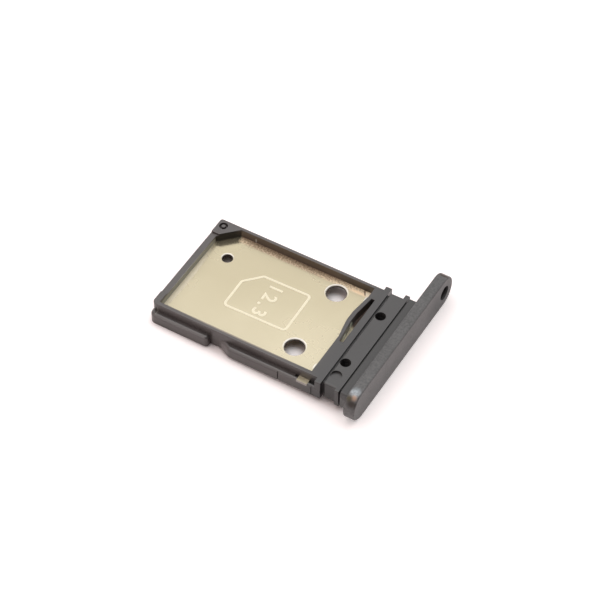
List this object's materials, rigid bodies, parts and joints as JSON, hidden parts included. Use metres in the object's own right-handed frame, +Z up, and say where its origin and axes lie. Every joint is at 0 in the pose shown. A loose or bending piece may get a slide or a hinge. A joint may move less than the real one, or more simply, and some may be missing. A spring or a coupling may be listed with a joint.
{
  "type": "sim card tray",
  "caption": "Double-sided nano card tray for a phone: moulded frame with pocket, spring arm and guide rails round a thin metal plate, and a rounded head bar with an eject hole.",
  "frame": {"origin": "middle of the underside of the tray's box, level with the lowest line of the head", "axes": "+X from the tip to the head, the way the tray is pulled out; +Y across, towards the end of the head with the eject hole; +Z up, out of the upper card pocket"},
  "size_m": [0.0174, 0.0146, 0.0025],
  "materials": {
    "frame_plastic": "semi-gloss",
    "plate_metal": "satin, champagne tone",
    "head_metal": "blasted and anodised"
  },
  "bodies": {
    "root": {"carrier_frame": "frame_plastic", "base_plate": "plate_metal", "head": "head_metal"}
  },
  "joints": []
}
